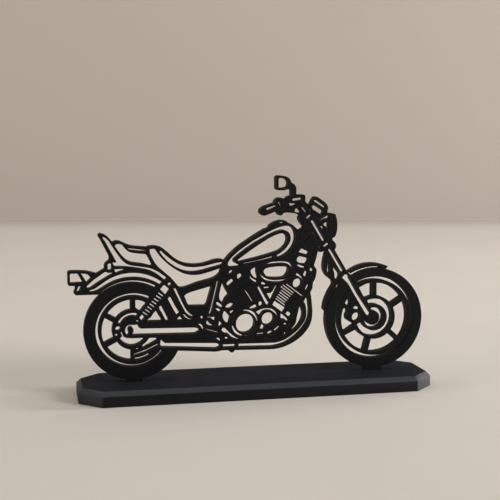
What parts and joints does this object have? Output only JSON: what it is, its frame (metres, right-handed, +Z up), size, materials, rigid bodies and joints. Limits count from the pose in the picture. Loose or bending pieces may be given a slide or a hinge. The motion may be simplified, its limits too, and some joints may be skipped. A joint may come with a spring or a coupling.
{
  "type": "motorcycle ornament",
  "caption": "Flat cut-out figure of a cruiser motorcycle in side view, standing by foot tabs in an eight-sided base as a desk or shelf ornament.",
  "frame": {"origin": "centre of the base's underside, on the surface it stands on", "axes": "+X along the figure towards its front wheel, +Y through the plate away from the side the picture shows, +Z up"},
  "size_m": [0.2042, 0.0494, 0.1209],
  "materials": {
    "figure_plastic": "near-black grey, satin matte, fine layer lines on the cut edges",
    "base_plastic": "dark slightly bluish grey, satin, smooth top"
  },
  "bodies": {
    "root": {"cutout_figure": "figure_plastic", "base": "base_plastic"}
  },
  "joints": []
}
